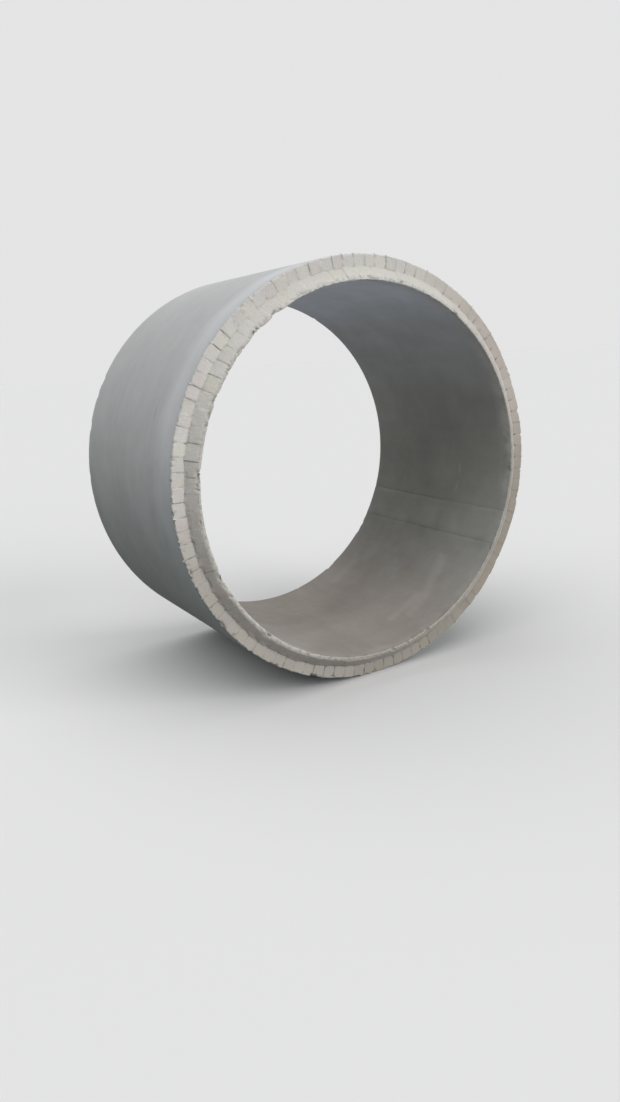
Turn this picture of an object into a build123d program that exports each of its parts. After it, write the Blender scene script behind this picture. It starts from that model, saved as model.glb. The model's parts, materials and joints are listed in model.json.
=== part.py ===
from build123d import *
import os
from math import atan2, degrees, sqrt

# A precast concrete sewer pipe, cast in one piece. One end has a tapered tongue and the other has
# the groove that takes the tongue of the next pipe. Sizes are in millimetres. The pipe lies on its
# side: its axis runs along Y, the tongue points to -Y, and the origin is on the ground under the
# middle of the pipe.

# The barrel. The laying length runs from the shoulder behind the tongue to the lip of the groove.
bore_radius = 750
wall = 100
laying_length = 1000

# The tongue stands on the inner half of the wall, and its outer side slopes in towards its end.
tongue_length = 35
tongue_root_thickness = 51
tongue_tip_thickness = 15

# The groove leaves room for mortar round the tongue and in front of it.
mortar_gap = 5

# Every edge that stands out is broken by a small chamfer, as the mould leaves it.
arris = 3

# The end mould is a ring of short boards. Their joints leave a V mark each, in the face of the
# shoulder and, at another pitch, in the slope of the tongue.
shoulder_board_count = 100
tongue_board_count = 80
board_mark_depth = 2.5
board_mark_end_gap = 2

outer_radius = bore_radius + wall
overall_length = laying_length + tongue_length
tongue_tip_y = -overall_length / 2
shoulder_y = tongue_tip_y + tongue_length
groove_lip_y = shoulder_y + laying_length

tongue_root_radius = bore_radius + tongue_root_thickness
tongue_tip_radius = bore_radius + tongue_tip_thickness
tongue_slope_drop = tongue_root_radius - tongue_tip_radius
tongue_slope_width = sqrt(tongue_length**2 + tongue_slope_drop**2)
tongue_slope_angle = degrees(atan2(tongue_slope_drop, tongue_length))

# The groove runs parallel to the tongue, outside it by the mortar gap.
groove_depth = tongue_length + mortar_gap
groove_floor_y = groove_lip_y - groove_depth
groove_mouth_radius = tongue_root_radius + mortar_gap
groove_floor_radius = groove_mouth_radius - groove_depth * tongue_slope_drop / tongue_length

# In the section plane the first coordinate runs along the pipe and the second is the radius.
pipe_axis = Axis((0, 0, outer_radius), (0, 1, 0))
section_plane = Plane(origin=(0, 0, outer_radius), x_dir=(0, 1, 0), z_dir=(1, 0, 0))

# Planes across the pipe that face out of the tongue end: one on the shoulder, and one half-way up
# the tongue.
shoulder_plane = Plane(origin=(0, shoulder_y, outer_radius), x_dir=(1, 0, 0), z_dir=(0, -1, 0))
tongue_middle_plane = shoulder_plane.offset(tongue_length / 2)

# The marks are square bars laid on edge, sunk to half their height.
board_mark_side = board_mark_depth * sqrt(2)
shoulder_mark_start = tongue_root_radius + board_mark_end_gap
shoulder_mark_end = outer_radius + board_mark_depth
shoulder_mark_length = shoulder_mark_end - shoulder_mark_start
tongue_mark_length = tongue_slope_width - 2 * board_mark_end_gap

with BuildPart() as pipe:
    with BuildSketch(section_plane) as wall_section:
        with BuildLine():
            Polyline(
                (tongue_tip_y, bore_radius),
                (tongue_tip_y, tongue_tip_radius),
                (shoulder_y, tongue_root_radius),
                (shoulder_y, outer_radius),
                (groove_lip_y, outer_radius),
                (groove_lip_y, groove_mouth_radius),
                (groove_floor_y, groove_floor_radius),
                (groove_floor_y, bore_radius),
                close=True,
            )
        make_face()
    revolve(axis=pipe_axis)

    rims = pipe.edges().filter_by(GeomType.CIRCLE)
    chamfer(rims.filter_by(lambda rim: not rim.is_interior), length=arris)

    # A mark lies along each joint between two boards, and the top of the pipe is mid-board.
    shoulder_board_angle = 360 / shoulder_board_count
    with Locations(shoulder_plane):
        with PolarLocations(
            radius=(shoulder_mark_start + shoulder_mark_end) / 2,
            count=shoulder_board_count,
            start_angle=90 + shoulder_board_angle / 2,
        ):
            Box(
                shoulder_mark_length,
                board_mark_side,
                board_mark_side,
                rotation=(45, 0, 0),
                mode=Mode.SUBTRACT,
            )

    tongue_board_angle = 360 / tongue_board_count
    with Locations(tongue_middle_plane):
        with PolarLocations(
            radius=(tongue_root_radius + tongue_tip_radius) / 2,
            count=tongue_board_count,
            start_angle=90 + tongue_board_angle / 2,
        ):
            with Locations(Location((0, 0, 0), (0, 90 - tongue_slope_angle, 0))):
                Box(
                    tongue_mark_length,
                    board_mark_side,
                    board_mark_side,
                    rotation=(45, 0, 0),
                    mode=Mode.SUBTRACT,
                )

pipe.part.label = "pipe"
os.makedirs("parts", exist_ok=True)
export_step(pipe.part, "parts/pipe.step")
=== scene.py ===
import bpy
import json
import math
import random
from mathutils import Euler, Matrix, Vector


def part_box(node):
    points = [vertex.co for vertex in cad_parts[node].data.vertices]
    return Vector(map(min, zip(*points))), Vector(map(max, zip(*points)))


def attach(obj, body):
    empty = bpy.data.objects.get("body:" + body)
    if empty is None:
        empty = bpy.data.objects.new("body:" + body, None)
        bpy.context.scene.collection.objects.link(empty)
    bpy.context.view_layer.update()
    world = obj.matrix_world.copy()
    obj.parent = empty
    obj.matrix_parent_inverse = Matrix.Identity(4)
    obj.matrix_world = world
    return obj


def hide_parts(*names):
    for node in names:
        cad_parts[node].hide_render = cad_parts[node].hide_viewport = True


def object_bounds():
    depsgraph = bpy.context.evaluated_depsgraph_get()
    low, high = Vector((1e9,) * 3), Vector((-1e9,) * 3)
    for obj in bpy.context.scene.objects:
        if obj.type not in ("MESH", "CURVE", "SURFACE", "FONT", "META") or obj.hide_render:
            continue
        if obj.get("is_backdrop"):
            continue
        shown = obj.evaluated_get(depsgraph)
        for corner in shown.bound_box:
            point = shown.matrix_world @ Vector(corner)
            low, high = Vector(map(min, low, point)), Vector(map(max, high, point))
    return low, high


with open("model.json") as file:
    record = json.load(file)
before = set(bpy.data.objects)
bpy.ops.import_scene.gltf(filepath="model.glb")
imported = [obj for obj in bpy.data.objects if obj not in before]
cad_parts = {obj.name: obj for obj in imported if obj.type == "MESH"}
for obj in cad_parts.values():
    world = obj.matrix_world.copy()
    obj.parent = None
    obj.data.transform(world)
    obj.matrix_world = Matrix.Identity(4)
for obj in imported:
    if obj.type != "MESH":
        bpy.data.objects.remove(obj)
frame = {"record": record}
cad_low, cad_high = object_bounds()


# The pipe is one casting of grey concrete, rammed into an upright steel mould and lifted out. The
# mould's shells leave the barrel and the bore smooth, with fine lines where the shells meet. The
# tongue end is shaped by a ring of short boards, which leave their joints in it.
pipe_low, pipe_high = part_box("pipe")
mounts = {mount["name"]: mount for mount in frame["record"]["mounts"]}
axis_height = mounts["bore"]["pos_m"][2]
bore_radius = mounts["bore"]["dims"]["r_mm"] / 1000
outer_radius = pipe_high.z - axis_height
shoulder_y = mounts["shoulder_face"]["pos_m"][1]
tongue_tip_y = pipe_low.y
groove_lip_y = pipe_high.y

# The groove slopes like the tongue, so that its floor is about as thick as the tongue's end.
tongue_root_thickness = 0.051
tongue_tip_thickness = 0.015
groove_depth = 0.040
mortar_gap = 0.005
arris = 0.003
tongue_root_radius = bore_radius + tongue_root_thickness
tongue_tip_radius = bore_radius + tongue_tip_thickness
groove_floor_y = groove_lip_y - groove_depth
groove_mouth_radius = tongue_root_radius + mortar_gap

shoulder_boards = 100
tongue_boards = 80
board_width_spread = 0.08
mark_half_width = 0.0034

# The rings near the tongue end have the most columns, and those near the groove end half as many.
# Steps of thinning lead to the shell between, which has a quarter as many.
fine_columns = 1600
middle_columns = fine_columns // 2
coarse_columns = fine_columns // 4
edge_band = 0.026
thinning_step = 0.030
shell_ring_gap = 0.042

# The steel core closes with a narrow key panel, low on the right of the bore, and the outer shell
# is in two halves. These are the seams' angles from level right, upwards.
core_seams = (math.radians(-19.8), math.radians(-31.7))
shell_seams = (math.radians(58), math.radians(238))
seam_half_width = 0.004

# A column with no board or seam has these for its board's number and for its distance from them.
no_board = -1
far_away = 1.0

# The finished mesh is smooth, but for edges that turn by more than this.
sharp_angle = math.radians(40)

# The tongue's thin end tore when the mould was lifted. Each place is its turn from level right,
# upwards, its half width in turns, and how badly it tore.
torn_places = [
    (0.150, 0.005, 1.0),
    (0.245, 0.006, 0.4),
    (0.293, 0.007, 0.4),
    (0.312, 0.005, 0.4),
    (0.338, 0.004, 1.0),
    (0.360, 0.009, 1.0),
    (0.421, 0.004, 1.0),
    (0.478, 0.006, 1.0),
    (0.563, 0.010, 1.0),
    (0.628, 0.006, 1.0),
    (0.905, 0.008, 0.5),
    (0.985, 0.004, 0.4),
]


def stretch(start, end, steps, cut_start=True, cut_end=True):
    """Rings from start to end on the wall's section, an arris short of the corners it meets."""
    length = math.dist(start, end)
    along = ((end[0] - start[0]) / length, (end[1] - start[1]) / length)
    first = arris if cut_start else 0
    last = length - (arris if cut_end else 0)
    reaches = [first + (last - first) * step / steps for step in range(steps + 1)]
    return [(start[0] + along[0] * reach, start[1] + along[1] * reach) for reach in reaches]


bore_tip = (tongue_tip_y, bore_radius)
tongue_tip = (tongue_tip_y, tongue_tip_radius)
tongue_root = (shoulder_y, tongue_root_radius)
shoulder_rim = (shoulder_y, outer_radius)
groove_rim = (groove_lip_y, outer_radius)
groove_mouth = (groove_lip_y, groove_mouth_radius)
groove_floor = (groove_floor_y, tongue_tip_radius)
bore_far = (groove_floor_y, bore_radius)
barrel_fine_end = (shoulder_y + edge_band, outer_radius)
barrel_middle = (shoulder_y + edge_band + thinning_step, outer_radius)
barrel_coarse = (shoulder_y + edge_band + 2 * thinning_step, outer_radius)
barrel_end = (groove_lip_y - edge_band - thinning_step, outer_radius)
barrel_lip = (groove_lip_y - edge_band, outer_radius)
bore_lip = (groove_floor_y - edge_band, bore_radius)
bore_end = (groove_floor_y - edge_band - thinning_step, bore_radius)
bore_coarse = (tongue_tip_y + edge_band + 2 * thinning_step, bore_radius)
bore_middle = (tongue_tip_y + edge_band + thinning_step, bore_radius)
bore_fine_end = (tongue_tip_y + edge_band, bore_radius)
shell_rings = round((barrel_end[0] - barrel_coarse[0]) / shell_ring_gap)

# The stretches go round the whole wall, from the tongue's end over the shoulder and the barrel to
# the groove, and back along the bore. Each has its zone and its number of columns.
stretches = [
    ("tip", fine_columns, stretch(bore_tip, tongue_tip, 4)),
    ("slope", fine_columns, stretch(tongue_tip, tongue_root, 10, cut_end=False)),
    ("shoulder", fine_columns, stretch(tongue_root, shoulder_rim, 10)),
    ("barrel", fine_columns, stretch(shoulder_rim, barrel_fine_end, 5, cut_end=False)),
    ("barrel", middle_columns, [barrel_middle]),
    ("barrel", coarse_columns, stretch(barrel_coarse, barrel_end, shell_rings, False, False)),
    ("barrel", middle_columns, stretch(barrel_lip, groove_rim, 3, cut_start=False)),
    ("groove", middle_columns, stretch(groove_rim, groove_mouth, 4)),
    ("groove", middle_columns, stretch(groove_mouth, groove_floor, 4, cut_end=False)),
    ("groove", middle_columns, stretch(groove_floor, bore_far, 2)),
    ("bore", middle_columns, stretch(bore_far, bore_lip, 2, cut_end=False)),
    ("bore", coarse_columns, stretch(bore_end, bore_coarse, shell_rings, False, False)),
    ("bore", middle_columns, [bore_middle]),
    ("bore", fine_columns, stretch(bore_fine_end, bore_tip, 5, cut_start=False)),
]


def board_columns(boards, radius, seed):
    """The turn, board number, share of the board and joint distance of each fine column."""
    draw = random.Random(seed)
    narrowest, widest = 1 - board_width_spread, 1 + board_width_spread
    widths = [draw.uniform(narrowest, widest) for board in range(boards)]
    each = fine_columns // boards
    end = 0.5 / boards
    columns = []
    # A board's first column lies in its joint, and the others are even between the joints' edges.
    for board, width in enumerate(widths):
        start = end
        end += width / sum(widths)
        pitch = (end - start) * 2 * math.pi * radius
        edge = mark_half_width / pitch
        for step in range(each):
            share = 0 if step == 0 else edge + (1 - 2 * edge) * (step - 1) / (each - 2)
            joint = min(share, 1 - share) * pitch
            columns.append((start + (end - start) * share, board, share, joint))
    # The ring starts near level right, so the last half board goes before the others.
    half = each // 2
    wrapped = [(turn - 1, board, share, joint) for turn, board, share, joint in columns[-half:]]
    return wrapped + columns[:-half]


def seam_columns(count, seams, radius):
    """Even columns with no boards, but three are drawn together at each seam of the mould."""
    turns = [column / count for column in range(count)]
    for seam in seams:
        middle = seam / (2 * math.pi) % 1
        nearest = round(middle * count) % count
        reach = seam_half_width / (2 * math.pi * radius)
        turns[nearest - 1] = middle - reach
        turns[nearest] = middle
        turns[(nearest + 1) % count] = middle + reach
    return [(turn, no_board, 0.5, far_away) for turn in turns]


shoulder_columns = board_columns(shoulder_boards, outer_radius, seed=11)
tongue_columns = board_columns(tongue_boards, tongue_root_radius, seed=23)
plain_fine_columns = seam_columns(fine_columns, (), outer_radius)
plain_middle_columns = seam_columns(middle_columns, (), outer_radius)
shell_columns = seam_columns(coarse_columns, shell_seams, outer_radius)
core_columns = seam_columns(coarse_columns, core_seams, bore_radius)


def ring_columns(zone, count):
    """The columns that a ring of this zone is made of."""
    if zone in ("tip", "slope"):
        return tongue_columns
    if count == fine_columns:
        return plain_fine_columns if zone == "bore" else shoulder_columns
    if count == middle_columns:
        return plain_middle_columns
    return core_columns if zone == "bore" else shell_columns


def seam_distance(zone, turn, radius):
    """How far a column is from the nearest seam of the mould, round the pipe."""
    if zone not in ("bore", "barrel"):
        return far_away
    seams = core_seams if zone == "bore" else shell_seams
    gaps = [(turn - seam / (2 * math.pi) + 0.5) % 1 - 0.5 for seam in seams]
    return min(abs(gap) for gap in gaps) * 2 * math.pi * radius


def on_key_panel(zone, turn):
    """True for a column of the bore between the two seams of the core's key panel."""
    upper, lower = (seam / (2 * math.pi) % 1 for seam in core_seams)
    return zone == "bore" and lower < turn % 1 < upper


def tearing(turn):
    """How badly the tongue's end is torn at a turn, from 0 to 1."""
    badly = 0
    for place, width, worst in torn_places:
        gap = abs((turn - place + 0.5) % 1 - 0.5)
        badly = max(badly, worst * (1 - gap / width))
    return badly


def ring_faces(first, first_columns, second, second_columns):
    """Faces between two rings: quads where their columns match, and else a zip of triangles."""
    first_count, second_count = len(first_columns), len(second_columns)
    faces = []
    if first_columns is second_columns:
        for column in range(first_count):
            after = (column + 1) % first_count
            faces.append((first + column, second + column, second + after, first + after))
        return faces
    first_turns = [column[0] for column in first_columns] + [first_columns[0][0] + 1, math.inf]
    second_turns = [column[0] for column in second_columns] + [second_columns[0][0] + 1, math.inf]
    here, there = 0, 0
    while len(faces) < first_count + second_count:
        corners = (first + here % first_count, second + there % second_count)
        if first_turns[here + 1] <= second_turns[there + 1]:
            here += 1
            faces.append((*corners, first + here % first_count))
        else:
            there += 1
            faces.append((*corners, second + there % second_count))
    return faces


def cast_mesh():
    """The whole wall as one closed mesh, with what the relief and the finish need at each point."""
    zones = ("tip", "slope", "shoulder", "barrel", "groove", "bore")
    marks = {zone: [] for zone in zones}
    edges = {
        "rim": [shoulder_rim],
        "root": [tongue_root],
        "bore_edge": [bore_tip],
        "lip_edge": [groove_rim, groove_mouth, bore_far],
    }
    for name in ("board", "share", "joint", "seam", "key_panel", "torn", *edges):
        marks[name] = []
    points, starts = [], []
    for zone, count, section in stretches:
        for y, radius in section:
            columns = ring_columns(zone, count)
            starts.append((len(points), columns))
            for turn, board, share, joint in columns:
                angle = 2 * math.pi * turn
                points.append((radius * math.cos(angle), y, axis_height + radius * math.sin(angle)))
                # The tongue's boards are numbered on from the shoulder's.
                marks["board"].append(board + (shoulder_boards if zone in ("tip", "slope") else 0))
                marks["share"].append(share)
                marks["joint"].append(joint)
                marks["seam"].append(seam_distance(zone, turn, radius))
                marks["key_panel"].append(float(on_key_panel(zone, turn)))
                marks["torn"].append(tearing(turn))
                for name, corners in edges.items():
                    marks[name].append(min(math.dist((y, radius), corner) for corner in corners))
                for name in zones:
                    marks[name].append(float(name == zone))
    faces = []
    for ring, next_ring in zip(starts, starts[1:] + starts[:1]):
        faces += ring_faces(*ring, *next_ring)
    mesh = bpy.data.meshes.new("pipe_casting")
    mesh.from_pydata(points, [], faces)
    for name, values in marks.items():
        mesh.attributes.new(name, "FLOAT", "POINT").data.foreach_set("value", values)
    return mesh


class Wire:
    """One socket of a node tree. Sums and products of wires write their own nodes."""

    def __init__(self, tree, socket=None):
        self.tree = tree
        self.socket = socket

    def node(self, kind, settings=None, inputs=None, output=0):
        """Adds a node of this kind, with its settings first and then its sockets."""
        node = self.tree.nodes.new(kind)
        for name, value in (settings or {}).items():
            setattr(node, name, value)
        for key, value in (inputs or {}).items():
            if isinstance(value, Wire):
                self.tree.links.new(value.socket, node.inputs[key])
            else:
                node.inputs[key].default_value = value
        return Wire(self.tree, node.outputs[output])

    def maths(self, operation, *values):
        """A Math node on these values."""
        return self.node("ShaderNodeMath", {"operation": operation}, dict(enumerate(values)))

    def vector(self, operation, *values, output=0):
        """A Vector Math node on these values."""
        inputs = dict(enumerate(values))
        return self.node("ShaderNodeVectorMath", {"operation": operation}, inputs, output)

    def scaled(self, amount):
        """The vector that this wire carries, made longer or shorter by the amount."""
        return self.node("ShaderNodeVectorMath", {"operation": "SCALE"}, {0: self, "Scale": amount})

    def parts(self):
        """The X, Y and Z of the vector that this wire carries."""
        split = self.node("ShaderNodeSeparateXYZ", {}, {0: self})
        return [Wire(self.tree, socket) for socket in split.socket.node.outputs]

    def __abs__(self):
        return self.maths("ABSOLUTE", self)

    def __round__(self):
        return self.maths("ROUND", self)

    def __add__(self, other):
        return self.maths("ADD", self, other)

    def __radd__(self, other):
        return self.maths("ADD", other, self)

    def __sub__(self, other):
        return self.maths("SUBTRACT", self, other)

    def __rsub__(self, other):
        return self.maths("SUBTRACT", other, self)

    def __mul__(self, other):
        return self.maths("MULTIPLY", self, other)

    def __rmul__(self, other):
        return self.maths("MULTIPLY", other, self)

    def __truediv__(self, other):
        return self.maths("DIVIDE", self, other)

    def ramp(self, low, high, smooth=True):
        """0 at low and 1 at high, held beyond them. Low may be the greater."""
        interpolation = "SMOOTHSTEP" if smooth else "LINEAR"
        inputs = {"Value": self, "From Min": low, "From Max": high}
        return self.node("ShaderNodeMapRange", {"interpolation_type": interpolation}, inputs)

    def noise(self, scale, detail=3.0, roughness=0.5, output=0):
        """Fractal noise about 0.5 at the places that this wire carries."""
        inputs = {"Vector": self, "Scale": scale, "Detail": detail, "Roughness": roughness}
        return self.node("ShaderNodeTexNoise", {"normalize": True}, inputs, output)

    def chance(self, seed):
        """A number from 0 to 1 that is the same wherever this wire has the same value."""
        return self.node("ShaderNodeTexWhiteNoise", {"noise_dimensions": "1D"}, {"W": self + seed})


def relief_tree(material):
    """The relief that the boards, the mould's seams, chips and torn edges give the casting.

    Lengths are in metres, and the two numbers of a ramp are where it is 0 and where it is 1.
    """
    tree = bpy.data.node_groups.new("cast_relief", "GeometryNodeTree")
    tree.interface.new_socket("Geometry", in_out="OUTPUT", socket_type="NodeSocketGeometry")
    tree.interface.new_socket("Geometry", in_out="INPUT", socket_type="NodeSocketGeometry")
    sizes = {
        "Mark half width": mark_half_width,
        "Mark depth": 0.0034,
        "Mark reach": 0.0120,
        "Mark reach spread": 0.0500,
        "Corner depth": 0.0028,
        "Root pit depth": 0.0030,
        "Root wander": 0.0140,
        "Board step": 0.0026,
        "Board tilt": 0.0032,
        "Board jut": 0.0026,
        "Wobble": 0.0022,
        "Rim crumble": 0.0130,
        "Rim notch": 0.0035,
        "Fin": 0.0045,
        "Grain": 0.0009,
        "Chip depth": 0.0060,
        "Tip roughness": 0.00588,
        "Tear depth": 0.0110,
        "Seam half width": seam_half_width,
        "Seam depth": 0.0014,
        "Panel step": 0.0009,
        "Waviness": 0.0022,
        "Seed": 5.0,
    }
    for name, value in sizes.items():
        socket = tree.interface.new_socket(name, in_out="INPUT", socket_type="NodeSocketFloat")
        socket.default_value = value
    start = Wire(tree)
    given = tree.nodes.new("NodeGroupInput")
    size = {name: Wire(tree, given.outputs[name]) for name in sizes}

    def mark(name):
        """A value that the mesh carries at each point."""
        return start.node("GeometryNodeInputNamedAttribute", {"data_type": "FLOAT"}, {"Name": name})

    place = start.node("GeometryNodeInputPosition")
    normal = start.node("GeometryNodeInputNormal")
    spoke = start.vector("MULTIPLY_ADD", place, (1, 0, 1), (0, 0, -axis_height))
    outward = start.vector("NORMALIZE", spoke)

    def facing(x, z, low, high):
        """Rises from 0 to 1 towards the side of the pipe that faces this way from its axis."""
        return start.vector("DOT_PRODUCT", outward, (x, 0, z), output="Value").ramp(low, high)

    low_left = facing(-0.75, -0.66, 0.20, 0.90)
    underneath = facing(-0.50, -0.87, 0.55, 0.95)
    low_right = facing(0.80, -0.60, 0.80, 0.96)
    right = facing(1, 0, 0.25, 0.65)
    top = facing(0, 1, 0.60, 0.95)
    up_left = facing(-0.60, 0.80, 0.55, 0.90)

    board = mark("board")
    draw_seeds = {"strength": 0, "step": 17, "tilt": 31, "fin": 47, "jut": 59, "reach": 83}
    draw = {name: board.chance(size["Seed"] + seed) for name, seed in draw_seeds.items()}
    joint_distance, root_distance, rim_distance = mark("joint"), mark("root"), mark("rim")
    tongued, shouldered = mark("slope"), mark("shoulder")
    boarded = tongued + shouldered
    near_rim = rim_distance.ramp(0.016, 0.002)
    near_root = root_distance.ramp(0.016, 0.002) * boarded
    near_lip = mark("lip_edge").ramp(0.018, 0.002)
    near_bore_edge = mark("bore_edge").ramp(0.026, 0.012)

    # The boards' joints. On the shoulder they fade at some distance from its rim, or on the right,
    # from the tongue's root.
    joint = (joint_distance / size["Mark half width"]).ramp(1, 0, smooth=False)
    fading = tongued * (0.35 + 0.45 * top + 0.40 * underneath)
    joint_strength = (draw["strength"] * 0.75 + 0.35) * (1 - fading)
    joint_strength = joint_strength * (1 - low_right * 0.65 - up_left * 0.25)
    ragged = place.noise(45, detail=4).ramp(0.34, 0.56)
    reach = draw["reach"] * size["Mark reach spread"] + size["Mark reach"]
    past_rim = (rim_distance - reach).ramp(0, 0.012)
    past_root = (root_distance - reach * 0.5).ramp(0, 0.010)
    past = past_rim + (past_root - past_rim) * right
    gap = joint * joint_strength * ragged * boarded * (1 - shouldered * past * 0.75)

    # The boards' faces, with rounded corners and small pits along the tongue's root.
    step = (draw["step"] - 0.5) * size["Board step"]
    tilt = (draw["tilt"] - 0.5) * (mark("share") - 0.5) * size["Board tilt"]
    corner = (joint_distance + root_distance).ramp(0.014, 0.004) * joint_strength
    root_pits = place.noise(55, detail=3).ramp(0.64, 0.74) * root_distance.ramp(0.010, 0.001)
    sunk = root_pits * size["Root pit depth"] + corner * size["Corner depth"]
    boards = boarded * (step + tilt - sunk) - gap * size["Mark depth"]
    grain = (place.noise(120, detail=4) - 0.5) * size["Grain"] * (boarded + mark("tip") + near_rim)

    # How far the shoulder's rim and the line of the root stand out, away from the pipe's axis.
    crumble = place.noise(62, detail=5, roughness=0.65) - 0.52
    crumble = crumble * place.noise(11, detail=2).ramp(0.32, 0.62) * (1 + low_left * 0.9)
    step_out = (draw["jut"] - 0.6) * size["Board jut"]
    jut = (step_out + crumble * size["Rim crumble"] - gap * size["Rim notch"]) * near_rim
    wander = (place.noise(34, detail=4) - 0.5) * size["Root wander"] * (0.5 + low_left)
    jut = jut + wander * near_root

    # Chips off the edges, fins of mortar in the joints, and the tongue's rough and torn end.
    chip = place.noise(24, detail=4, roughness=0.6).ramp(0.55, 0.70) * near_rim * (1 + low_left)
    lip_chip = place.noise(13, detail=5, roughness=0.6).ramp(0.58, 0.72) * near_lip
    bite = place.noise(30, detail=4, roughness=0.6).ramp(0.57, 0.70) * near_bore_edge
    bite = bite * (1 - right * 0.6)
    broken = chip + lip_chip + bite
    fins = joint * draw["fin"].ramp(0.66, 0.76) * near_rim * size["Fin"]
    torn = (place.noise(62, detail=5, roughness=0.6) - 0.56) * near_bore_edge
    tear = place.noise(48, detail=4, roughness=0.65).ramp(0.36, 0.60)
    tear = tear * near_bore_edge * mark("torn")
    pits = torn.ramp(-0.06, -0.16) * (1 - right * 0.7) + tear

    # The steel shells: ridges on the barrel and grooves in the bore at the mould's seams, the key
    # panel's step, and waviness.
    seam = (mark("seam") / size["Seam half width"]).ramp(1, 0, smooth=False)
    barrelled, bored = mark("barrel"), mark("bore")
    seams = seam * (barrelled - bored) * size["Seam depth"]
    panel = mark("key_panel") * size["Panel step"]
    waves = (place.noise(2.2, detail=2) - 0.5) * (barrelled + bored) * size["Waviness"]

    tearing_down = tear * size["Tear depth"] + broken * size["Chip depth"]
    rough_tip = torn * size["Tip roughness"]
    height = boards + grain + fins + rough_tip + seams + panel + waves - tearing_down
    wobble = start.vector("SUBTRACT", place.noise(16, detail=2, output="Color"), (0.5, 0.5, 0.5))
    shift = start.vector("ADD", normal.scaled(height), outward.scaled(jut))
    shift = start.vector("ADD", shift, wobble.scaled(size["Wobble"] * boarded))
    x, y, z = start.vector("ADD", place, shift).parts()
    above_floor = start.node("ShaderNodeCombineXYZ", {}, {0: x, 1: y, 2: z.maths("MAXIMUM", z, 0)})

    # The gaps, breaks and pits are kept at each point, for the finish to read.
    casting = Wire(tree, given.outputs["Geometry"])
    for name, value in {"gap": gap, "broken": broken, "pits": pits}.items():
        settings = {"data_type": "FLOAT", "domain": "POINT"}
        inputs = {"Geometry": casting, "Name": name, "Value": value}
        casting = start.node("GeometryNodeStoreNamedAttribute", settings, inputs)
    inputs = {"Geometry": casting, "Position": above_floor}
    moved = start.node("GeometryNodeSetPosition", {}, inputs)
    real = start.node("GeometryNodeRealizeInstances", {}, {"Geometry": moved})
    painted = start.node("GeometryNodeSetMaterial", {}, {"Geometry": real, "Material": material})
    tree.links.new(painted.socket, tree.nodes.new("NodeGroupOutput").inputs["Geometry"])
    return tree, sizes


def linear(red, green, blue):
    """A colour as it is seen on a screen, from 0 to 255, made linear."""
    return tuple(((value / 255 + 0.055) / 1.055) ** 2.4 for value in (red, green, blue))


def blend(share, first, second):
    """A Mix node from the first colour to the second."""
    # Its sockets share their names, so they are numbered: 0 is the share, 6 and 7 are the colours.
    inputs = {}
    for key, value in ((0, share), (6, first), (7, second)):
        inputs[key] = (*value, 1) if isinstance(value, tuple) else value
    return share.node("ShaderNodeMix", {"data_type": "RGBA"}, inputs, output=2)


# Runs of milky water and small stains on the shells: the zone, the angles from level right where
# each starts and ends, its place along the pipe there, its half width and how much lighter it is.
runs = [
    ("bore", -6.2, -8.6, -0.177, -0.182, 0.013, 0.20),
    ("bore", -13.0, -15.6, -0.177, -0.167, 0.013, 0.18),
    ("bore", 1.5, -1.0, -0.110, -0.108, 0.008, -0.14),
    ("bore", -40.0, -68.0, -0.238, -0.345, 0.054, 0.13),
    ("bore", -58.0, -73.0, -0.262, -0.285, 0.040, 0.11),
    ("bore", -50.0, -67.0, 0.352, 0.316, 0.045, 0.07),
    ("bore", -24.0, -32.0, -0.118, -0.098, 0.055, -0.09),
    ("bore", -24.5, -31.0, -0.215, -0.240, 0.045, 0.05),
    ("barrel", 159.0, 157.0, -0.253, -0.250, 0.014, -0.14),
]


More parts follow.
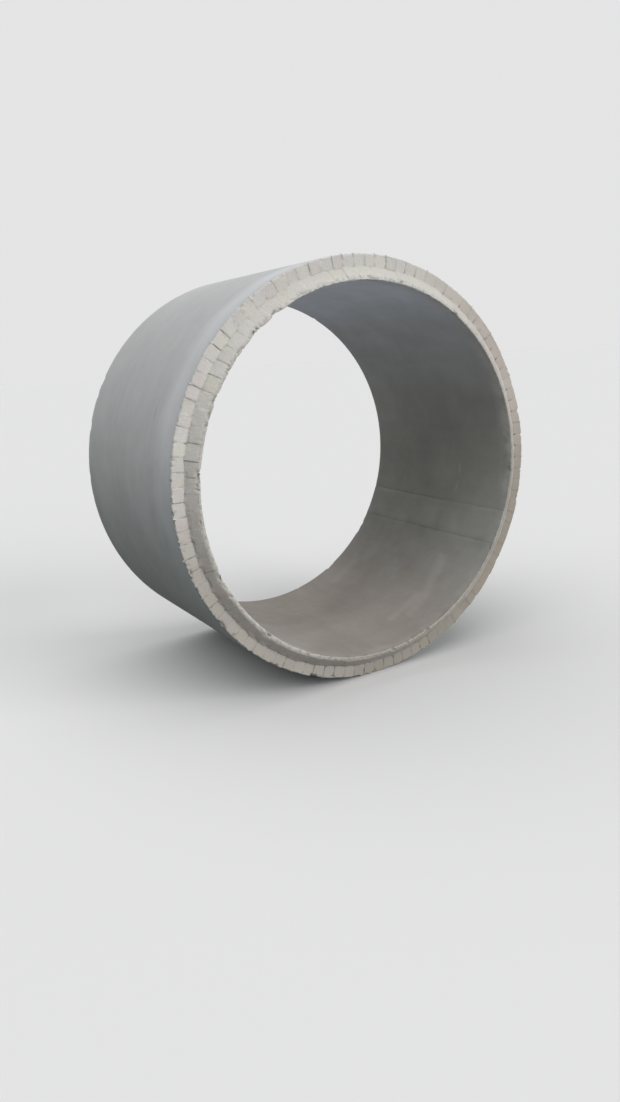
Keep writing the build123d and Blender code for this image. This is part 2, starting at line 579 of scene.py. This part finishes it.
def concrete():
    """Weathered cast concrete, pale and sandy where the boards were, and elsewhere smooth and grey.

    Lengths are in metres, and the two numbers of a ramp are where it is 0 and where it is 1.
    """
    material = bpy.data.materials.new("cast_concrete")
    material.use_nodes = True
    tree = material.node_tree
    start = Wire(tree)

    def mark(name):
        """A value that the casting carries at each point."""
        return start.node("ShaderNodeAttribute", {"attribute_name": name}, output="Fac")

    def shade(colour, amount):
        """The colour, made lighter or darker by the amount."""
        grey = start.node("ShaderNodeCombineXYZ", {}, {0: amount, 1: amount, 2: amount})
        return start.vector("MULTIPLY", colour, grey)

    def holes(scale, widest, share):
        """Round air holes, of mixed widths, in this share of a random pattern's cells."""
        inputs = {"Vector": place, "Scale": scale}
        cells = start.node("ShaderNodeTexVoronoi", {"feature": "F1"}, inputs)
        chance = Wire(tree, cells.socket.node.outputs["Color"])
        # A cell without a hole still has a width just above 0, because the distance is divided by it.
        width = chance.ramp(1 - share, 1) * widest + 0.0001
        return (cells / width).ramp(1, 0.55)

    barrel_grey = linear(181, 182, 182)
    barrel_pale = linear(199, 201, 203)
    # Darker low on the barrel: partly damp, partly painted shade.
    barrel_damp_and_shade = linear(128, 134, 130)
    bore_grey = linear(199, 203, 206)
    bore_pale = linear(200, 198, 192)
    # Painted light on the bore's roof.
    bore_roof_painted_light = linear(230, 236, 247)
    # Painted shade, low on the bore's right.
    bore_painted_shade = linear(157, 157, 151)
    bore_dusty = linear(157, 149, 142)
    board_pale = linear(205, 202, 196)
    board_yellow = linear(206, 203, 192)
    board_pink = linear(205, 199, 194)
    board_dusky = linear(183, 173, 164)
    board_stained = linear(152, 145, 133)
    slope_pale = linear(190, 187, 181)
    slope_dirty = linear(177, 172, 165)
    tip_pale = linear(210, 209, 203)
    tip_dull = linear(188, 184, 176)
    groove_grey = linear(200, 199, 193)

    place = start.node("ShaderNodeTexCoord", output="Object")
    x, y, z = place.parts()
    above_axis = z - axis_height
    board = round(mark("board"))
    tip, slope, shoulder = mark("tip"), mark("slope"), mark("shoulder")
    barrelled, bored = mark("barrel"), mark("bore")
    joint, root, seam, bore_edge = mark("joint"), mark("root"), mark("seam"), mark("bore_edge")
    broken, pits = mark("broken"), mark("pits")
    boarded = slope + shoulder
    cloud = place.noise(2.4, detail=5, roughness=0.55)
    patch = place.noise(10, detail=6, roughness=0.6)
    sand = place.noise(230, detail=2)
    grains = place.noise(620, detail=2)

    # Where the dirt and the light change round the pipe.
    low_right = (x * 0.8 - above_axis + patch * 0.3).ramp(0.5, 1.0)
    low_left = (z + x * 0.2 + patch * 0.3).ramp(0.95, 0.50)
    up_left = (above_axis * 0.8 - x * 0.6).ramp(0.45, 0.75)
    left = (x * 0.9 + above_axis * 0.3).ramp(-0.45, -0.70)
    right_wall = (x * 1.21 - above_axis * 0.56).ramp(0.78, 0.98) * bored
    bottom = z.ramp(0.30, 0.14) * bored

    # The barrel is palest in a band behind the rim, and darker low down, partly damp and partly
    # painted shade.
    pale_band = abs(y - (shoulder_y + 0.080)).ramp(0.130, 0.0) * 0.9
    barrel = blend(pale_band, barrel_grey, barrel_pale)
    barrel = blend((z + cloud * 0.5).ramp(1.55, 0.55) * 0.85, barrel, barrel_damp_and_shade)

    # The bore is greyer on the left, with painted shade low on the right. Its roof is painted lighter
    # and bluer, as light thrown up from the ground would make it, and it has dust at its bottom and
    # paler patches near the tongue's end.
    bore = blend((x + cloud * 0.3).ramp(0.25, -0.35), bore_grey, barrel_grey)
    bore = blend((x + cloud * 0.3 - above_axis * 0.9).ramp(-0.1, 0.9), bore, bore_painted_shade)
    roof = (above_axis - abs(x) * 0.6 + cloud * 0.2).ramp(0.35, 0.80)
    bore = blend(roof, bore, bore_roof_painted_light)
    bore = blend((z + patch * 0.3).ramp(0.65, 0.20), bore, bore_dusty)
    near_tip = (y - tongue_tip_y).ramp(0.085, 0.010) * patch.ramp(0.30, 0.60)
    bore = blend(near_tip * (above_axis.ramp(-0.30, 0.0) * 0.72 + 0.13), bore, bore_pale)

    # The concrete differs a little from board to board, and is duskier on the right and dirtier
    # low down.
    tint = board.chance(71.0)
    boards = blend(tint.ramp(0.60, 1.0), board_pale, board_yellow)
    boards = blend(tint.ramp(0.45, 0.0), boards, board_pink)
    boards = blend((x + cloud * 0.4).ramp(0.3, 0.9) * 0.8, boards, board_dusky)
    boards = blend(slope * (x.ramp(-0.7, 0.3) * 0.4 + 0.25), boards, slope_pale)
    boards = blend(slope * (z + patch * 0.4).ramp(1.5, 0.5), boards, slope_dirty)
    stained = low_right.maths("MAXIMUM", low_right, low_left * 0.7)
    boards = blend(shoulder * stained * 0.8, boards, board_stained)
    tip_tone = blend((z + patch * 0.2).ramp(1.70, 1.30) * 0.95, tip_pale, tip_dull)
    tip_tone = blend(low_right * 0.7, tip_tone, board_stained)

    colour = blend(barrelled, groove_grey, barrel)
    colour = blend(bored, colour, bore)
    colour = blend(boarded, colour, boards)
    colour = blend(tip, colour, tip_tone)

    # How light the concrete is: first its own unevenness, with streaks round the barrel and along
    # the bore, and the tone of each board.
    round_pipe = start.vector("MULTIPLY", place, (0.7, 22, 0.7)).noise(1.4, detail=4)
    along_pipe = start.vector("MULTIPLY", place, (16, 1.0, 16)).noise(1.6, detail=4)
    streaks = (round_pipe - 0.5) * 0.12 * barrelled + (along_pipe - 0.5) * 0.12 * bored
    bore_clouds = (place.noise(3.5, detail=6, roughness=0.62) - 0.5) * 0.44 * bored
    board_tone = (board.chance(113.0) - 0.5) * 0.06 * boarded
    grit = (sand - 0.5) * (0.12 + 0.16 * tip + 0.16 * boarded)
    grit = grit + (grains - 0.5) * (0.20 + 0.16 * boarded)
    lightness = 0.82 + cloud * 0.14 + patch * 0.20 + grit + board_tone + streaks + bore_clouds

    # Then painted shade in the boards' joints, and dirt round the joints, in their corners and along
    # the tongue's root.
    painted_gap_shade = mark("gap").ramp(0.05, 1.0, smooth=False) * (0.36 - up_left * 0.10)
    joint_dirt = joint.ramp(0.0075 + up_left * 0.0055, 0.0) * (1 + up_left)
    joint_dirt = joint_dirt * place.noise(38, detail=4).ramp(0.40, 0.62)
    joint_dirt = joint_dirt * (shoulder + slope * (x + above_axis).ramp(0.3, -0.5) * 0.8)
    dirty_patch = patch.ramp(0.35, 0.6) * boarded
    corner_dirt = (joint + root).ramp(0.018, 0.004) * dirty_patch
    root_dirt = root.ramp(0.009, 0.0005) * dirty_patch * z.ramp(1.6, 1.2)
    lightness = lightness - painted_gap_shade - joint_dirt * 0.09 - corner_dirt * 0.08 - root_dirt * 0.09

    # The seams of the mould, which fade out near both ends, and the key panel.
    seam_line = seam.ramp(0.0075, 0.001) * place.noise(4, detail=5).ramp(0.40, 0.62)
    seam_line = seam_line * y.ramp(-0.455, -0.350) * y.ramp(0.45, 0.30)
    seam_smudge = seam.ramp(0.060, 0.0) * place.noise(6, detail=4).ramp(0.48, 0.66) * bored
    lightness = lightness + mark("key_panel") * 0.03 - seam_line * 0.22 - seam_smudge * 0.08

    # The runs and stains. Each fades over two degrees at its ends.
    angle = above_axis.maths("ARCTAN2", above_axis, x) * (180 / math.pi)
    stains = 0
    for zone, first, last, first_y, last_y, half_width, lighter in runs:
        beside = y - (angle.ramp(first, last, smooth=False) * (last_y - first_y) + first_y)
        across = abs(beside + (patch - 0.5) * half_width).ramp(half_width, 0)
        along = angle.ramp(first + 1.5, first - 0.5) * angle.ramp(last - 1.5, last + 0.5)
        stains = across * along * mark(zone) * lighter + stains

    # Painted light and shade: painted shade on the bore's right wall, deepening away from the tongue
    # end, where it is painted a little lighter; a painted highlight on top of the barrel; a painted
    # highlight along the tongue's inner edge and painted shade on the tip's outer part on the left.
    # The bore's bottom is a little lighter part way in and darker further in.
    right_shade = right_wall * (y.ramp(-0.50, 0.35) * 0.37 - 0.12)
    bottom_tone = bottom * (y.ramp(-0.45, -0.15) * 0.06 - y.ramp(-0.15, 0.20) * 0.12)
    top_painted_light = above_axis.ramp(0.62, 0.82) * barrelled * 0.06
    painted_edge_highlight = bore_edge.ramp(0.007, 0.002) * low_right + bore_edge.ramp(0.011, 0.004) * left
    painted_tip_shade = bore_edge.ramp(0.008, 0.013) * tip * left
    lightness = lightness + stains - right_shade + bottom_tone + top_painted_light
    lightness = lightness + painted_edge_highlight * 0.12 - painted_tip_shade * 0.14

    # Last, the broken and pitted places and the air holes.
    small_holes = holes(70.0, 0.17, 0.45)
    large_holes = holes(15.0, 0.070, 0.42) * place.noise(1.8, detail=3).ramp(0.42, 0.60)
    specks = holes(230.0, 0.30, 0.30)
    lightness = lightness - broken * 0.08 - pits * 0.24
    lightness = lightness - small_holes * 0.22 - large_holes * 0.26 - specks * 0.12
    colour = shade(colour, lightness)

    roughened = 0.25 + 0.7 * boarded + 0.9 * tip + 0.6 * broken
    sandy = (sand * 0.45 + grains * 0.25) * (0.35 + 0.65 * boarded + 0.65 * tip)
    fine_relief = sandy + place.noise(95, detail=5) * roughened
    fine_relief = fine_relief - small_holes * 0.9 - large_holes * 2.4
    inputs = {"Strength": 1.0, "Distance": 0.001, "Height": fine_relief}
    bump = start.node("ShaderNodeBump", {}, inputs)
    shader = tree.nodes["Principled BSDF"]
    shader.inputs["Specular IOR Level"].default_value = 0.35
    tree.links.new(colour.socket, shader.inputs["Base Color"])
    tree.links.new((0.84 + patch * 0.14).socket, shader.inputs["Roughness"])
    tree.links.new(bump.socket, shader.inputs["Normal"])
    return material


cast_concrete = concrete()
rough_casting = bpy.data.objects.new("rough_casting", cast_mesh())
bpy.context.scene.collection.objects.link(rough_casting)
relief, relief_sizes = relief_tree(cast_concrete)
modifier = rough_casting.modifiers.new("cast_relief", "NODES")
modifier.node_group = relief
for item in relief.interface.items_tree:
    if item.item_type == "SOCKET" and item.in_out == "INPUT" and item.name in relief_sizes:
        modifier[item.identifier] = relief_sizes[item.name]
evaluated = rough_casting.evaluated_get(bpy.context.evaluated_depsgraph_get())
finished_mesh = bpy.data.meshes.new_from_object(evaluated)
bpy.data.objects.remove(rough_casting)
finished_mesh.shade_smooth()
finished_mesh.set_sharp_from_angle(angle=sharp_angle)

pipe_casting = bpy.data.objects.new("pipe_casting", finished_mesh)
bpy.context.scene.collection.objects.link(pipe_casting)
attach(pipe_casting, "root")
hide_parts("pipe")


# The studio floor is a wide pale disc. The camera sees it paler than the light that it throws back
# on the pipe, which keeps the upper bore dark.
floor_radius = 60.0
floor_seen = (0.718, 0.716, 0.712)
floor_bounce = (0.20, 0.205, 0.21)


def seen_ray(tree):
    """Above 0 for all that the camera sees, also mirrored or through a pane, and otherwise 0."""
    straight = Wire(tree).node("ShaderNodeLightPath", output="Is Camera Ray")
    rays = straight.socket.node.outputs
    return straight + Wire(tree, rays["Is Glossy Ray"]) + Wire(tree, rays["Is Transmission Ray"])


def floor_material():
    """Plain matt floor, with its own colour for what the camera sees."""
    material = bpy.data.materials.new("studio_floor")
    material.use_nodes = True
    tree = material.node_tree
    colour = blend(seen_ray(tree), floor_bounce, floor_seen)
    shader = tree.nodes["Principled BSDF"]
    shader.inputs["Roughness"].default_value = 1.0
    shader.inputs["Specular IOR Level"].default_value = 0.0
    tree.links.new(colour.socket, shader.inputs["Base Color"])
    return material


floor_mesh = bpy.data.meshes.new("studio_floor")
floor_sides = 96
floor_points = []
for side in range(floor_sides):
    angle = 2 * math.pi * side / floor_sides
    floor_points.append((floor_radius * math.cos(angle), floor_radius * math.sin(angle), 0))
floor_mesh.from_pydata(floor_points, [], [tuple(range(floor_sides))])
floor_mesh.materials.append(floor_material())
floor = bpy.data.objects.new("studio_floor", floor_mesh)
bpy.context.scene.collection.objects.link(floor)
floor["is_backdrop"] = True


# The light is a dim even sky, a broad soft lamp overhead, a little behind and to the left, and
# another in front of the tongue end, low and a little to the right.
sky_strength = 0.31
sky_colour = (0.96, 0.98, 1.0)
backdrop_colour = (0.78, 0.78, 0.78)
lamps = {
    "overhead_lamp": {"direction": (-0.25, 0.10, 1.0), "softness": 90, "strength": 1.85},
    "front_lamp": {"direction": (0.45, -0.85, 0.32), "softness": 50, "strength": 2.1},
}

world = bpy.data.worlds.new("studio")
world.use_nodes = True
bpy.context.scene.world = world
background = world.node_tree.nodes["Background"]
sky_light = tuple(sky_strength * part for part in sky_colour)
sky = blend(seen_ray(world.node_tree), sky_light, backdrop_colour)
world.node_tree.links.new(sky.socket, background.inputs["Color"])

for name, setting in lamps.items():
    lamp_data = bpy.data.lights.new(name, "SUN")
    lamp_data.energy = setting["strength"]
    lamp_data.angle = math.radians(setting["softness"])
    lamp = bpy.data.objects.new(name, lamp_data)
    lamp.rotation_mode = "QUATERNION"
    lamp.rotation_quaternion = Vector(setting["direction"]).to_track_quat("Z", "Y")
    bpy.context.scene.collection.objects.link(lamp)


# The camera stands where the photograph was taken: left of the pipe's axis, at chest height, held
# a little out of level. The picture is taller than wide, so the sensor's width spans its height.
photo_height = 1102
focal_pixels = 807.2
camera_offset = Vector((-1.852, -2.662, 0.527))
camera_turn = math.radians(-30.25)
camera_tilt = math.radians(-14.31)
camera_roll = math.radians(-3.78)
axis_at_shoulder = Vector((0, shoulder_y, axis_height))

camera_data = bpy.data.cameras.new("camera")
camera_data.sensor_width = 36.0
camera_data.lens = focal_pixels / photo_height * camera_data.sensor_width
camera = bpy.data.objects.new("camera", camera_data)
camera.location = axis_at_shoulder + camera_offset
upright = Euler((math.pi / 2 + camera_tilt, 0, camera_turn)).to_quaternion()
rolled = Euler((0, 0, camera_roll)).to_quaternion()
camera.rotation_mode = "QUATERNION"
camera.rotation_quaternion = upright @ rolled
bpy.context.scene.collection.objects.link(camera)
bpy.context.scene.camera = camera

bpy.context.scene.view_settings.view_transform = "Standard"

seen_low, seen_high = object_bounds()
sizes_file = {
    "cad": [list(cad_low), list(cad_high)],
    "visual": [list(seen_low), list(seen_high)],
}
